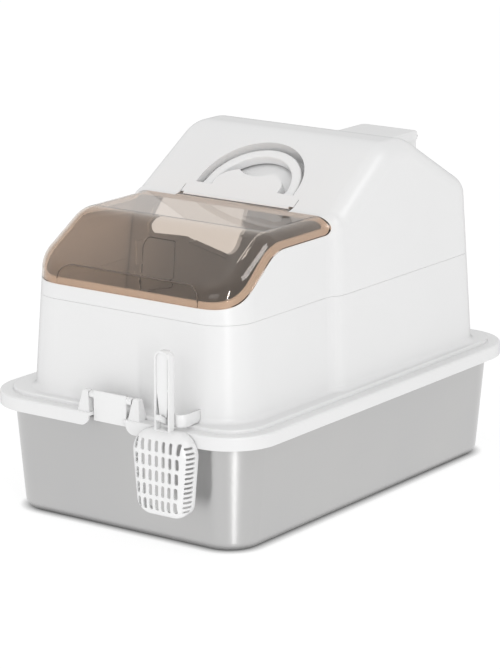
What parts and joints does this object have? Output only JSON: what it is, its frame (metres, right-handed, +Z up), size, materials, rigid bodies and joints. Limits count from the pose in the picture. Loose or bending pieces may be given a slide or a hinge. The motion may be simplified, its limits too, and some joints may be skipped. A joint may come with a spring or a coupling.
{
  "type": "covered litter box",
  "caption": "Covered litter box: steel pan, white wall and hood with side entry, hinged tinted visor, folding handle, rim latches, lidded filter box, and a slotted scoop on its hook.",
  "frame": {"origin": "middle of the flat bottom of the pan, on the floor", "axes": "+Z up, -Y to the front with the visor, the front latch and the scoop, +X to the right as seen from the front"},
  "size_m": [0.402, 0.6425, 0.439],
  "materials": {
    "pan_steel": "satin drawn steel",
    "white_plastic": "moulded, soft gloss",
    "tinted_visor": "clear, brown smoke tint",
    "pin_steel": "drawn wire",
    "filter_felt": "needled carbon felt"
  },
  "bodies": {
    "base": {"litter_pan": "pan_steel", "lower_wall": "white_plastic", "front_latch_pin": "pin_steel", "rear_latch_pin": "pin_steel", "scoop_hook": "white_plastic"},
    "hood_body": {"hood": "white_plastic", "hood_clip_front_left": "white_plastic", "hood_clip_front_right": "white_plastic", "hood_clip_rear_left": "white_plastic", "hood_clip_rear_right": "white_plastic", "filter_box": "white_plastic", "carbon_filter": "filter_felt"},
    "visor_body": {"visor": "tinted_visor", "visor_hinge_pin": "pin_steel"},
    "handle_body": {"carry_handle": "white_plastic", "handle_pin_left": "pin_steel", "handle_pin_right": "pin_steel"},
    "front_latch_body": {"front_latch": "white_plastic"},
    "rear_latch_body": {"rear_latch": "white_plastic"},
    "filter_lid_body": {"filter_lid": "white_plastic", "filter_lid_pin": "pin_steel"},
    "scoop_body": {"scoop": "white_plastic"}
  },
  "joints": [
    {"name": "hood_lift", "type": "slide", "parent": "base", "child": "hood_body", "axis": [0, 0, 1], "range_m": [0, 0.06]},
    {"name": "visor_hinge", "type": "hinge", "parent": "hood_body", "child": "visor_body", "pos_m": [0, -0.0445, 0.367], "axis": [-1, 0, 0], "range_deg": [0, 90]},
    {"name": "handle_pivot", "type": "hinge", "parent": "hood_body", "child": "handle_body", "pos_m": [0, -0.01565, 0.37498], "axis": [1, 0, 0], "range_deg": [0, 56]},
    {"name": "filter_lid_hinge", "type": "hinge", "parent": "hood_body", "child": "filter_lid_body", "pos_m": [0, 0.3003, 0.4017], "axis": [-1, 0, 0], "range_deg": [0, 95]},
    {"name": "front_latch_hinge", "type": "hinge", "parent": "base", "child": "front_latch_body", "pos_m": [0, -0.29765, 0.171], "axis": [-1, 0, 0], "range_deg": [0, 105]},
    {"name": "rear_latch_hinge", "type": "hinge", "parent": "base", "child": "rear_latch_body", "pos_m": [0, 0.29765, 0.171], "axis": [1, 0, 0], "range_deg": [0, 105]},
    {"name": "scoop_lift", "type": "slide", "parent": "base", "child": "scoop_body", "axis": [0, -0.866, 0.5], "range_m": [0, 0.06]}
  ]
}
